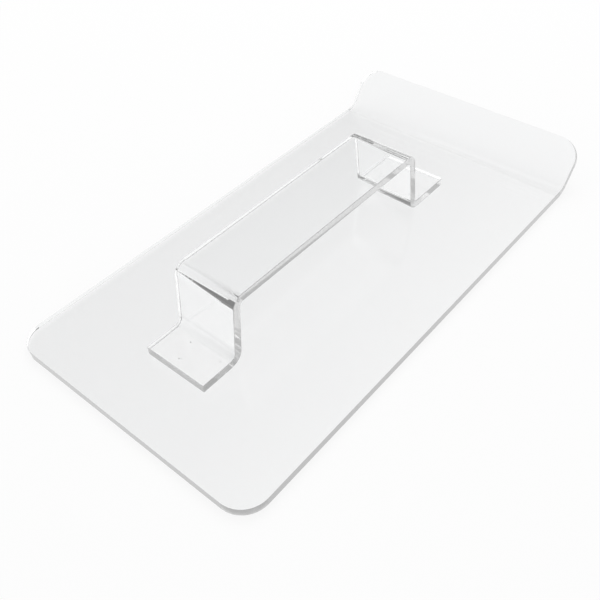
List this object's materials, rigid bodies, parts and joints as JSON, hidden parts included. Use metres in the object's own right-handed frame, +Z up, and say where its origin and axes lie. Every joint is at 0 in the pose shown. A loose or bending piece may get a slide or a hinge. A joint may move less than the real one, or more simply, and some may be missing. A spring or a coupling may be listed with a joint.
{
  "type": "icing smoother",
  "caption": "Clear acrylic icing smoother: a flat plate with rounded corners and a leaning lip at one end, with a bent strap handle cemented on top.",
  "frame": {"origin": "centre of the bounding box on the smoothing face, at the height of the surface that the tool lies on", "axes": "+X across the plate, +Y along the plate from the straight smoothing edge to the lip, +Z up from the smoothing face to the handle"},
  "size_m": [0.1, 0.19, 0.029],
  "materials": {
    "clear_acrylic_plate": "polished",
    "clear_acrylic_strip": "polished",
    "clear_cement": "polished"
  },
  "bodies": {
    "root": {"smoothing_plate": "clear_acrylic_plate", "handle": "clear_acrylic_strip", "front_bond": "clear_cement", "rear_bond": "clear_cement"}
  },
  "joints": []
}
